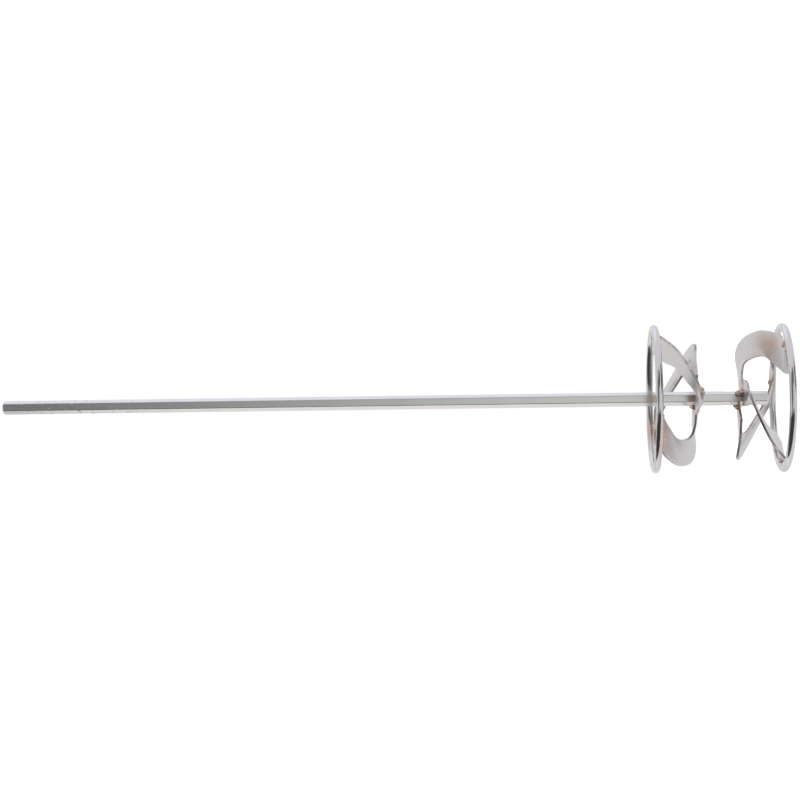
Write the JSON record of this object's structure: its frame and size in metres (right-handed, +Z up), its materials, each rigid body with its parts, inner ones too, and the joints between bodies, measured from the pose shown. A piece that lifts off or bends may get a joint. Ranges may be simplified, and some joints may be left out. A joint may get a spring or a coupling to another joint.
{
  "type": "mortar mixing paddle",
  "caption": "Hexagonal drive bar with welded mixing heads: round-wire rings joined to the bar by sickle-shaped sheet blades, for stirring mortar and plaster in a bucket.",
  "frame": {"origin": "on the bar's axis, in the plane on which the lower ring stands", "axes": "+Z up along the hexagonal bar's axis towards the shank end; the lower ring is at the bottom"},
  "size_m": [0.12, 0.12, 0.644],
  "materials": {
    "bar_steel": "drawn hexagonal steel bar, dull zinc-nickel plating",
    "ring_steel": "smooth round steel bar, bright plating",
    "blade_steel": "cold-rolled steel sheet, satin bright plating",
    "weld_metal": "weld bead under plating, straw to copper heat tint"
  },
  "bodies": {
    "root": {"hex_bar": "bar_steel", "lower_ring": "ring_steel", "lower_blade_1": "blade_steel", "lower_blade_2": "blade_steel", "lower_blade_3": "blade_steel", "lower_hub_weld_1": "weld_metal", "lower_hub_weld_2": "weld_metal", "lower_hub_weld_3": "weld_metal", "lower_rim_weld_1": "weld_metal", "lower_rim_weld_2": "weld_metal", "lower_rim_weld_3": "weld_metal", "upper_ring": "ring_steel", "upper_blade_1": "blade_steel", "upper_blade_2": "blade_steel", "upper_blade_3": "blade_steel", "upper_hub_weld_1": "weld_metal", "upper_hub_weld_2": "weld_metal", "upper_hub_weld_3": "weld_metal", "upper_rim_weld_1": "weld_metal", "upper_rim_weld_2": "weld_metal", "upper_rim_weld_3": "weld_metal"}
  },
  "joints": []
}
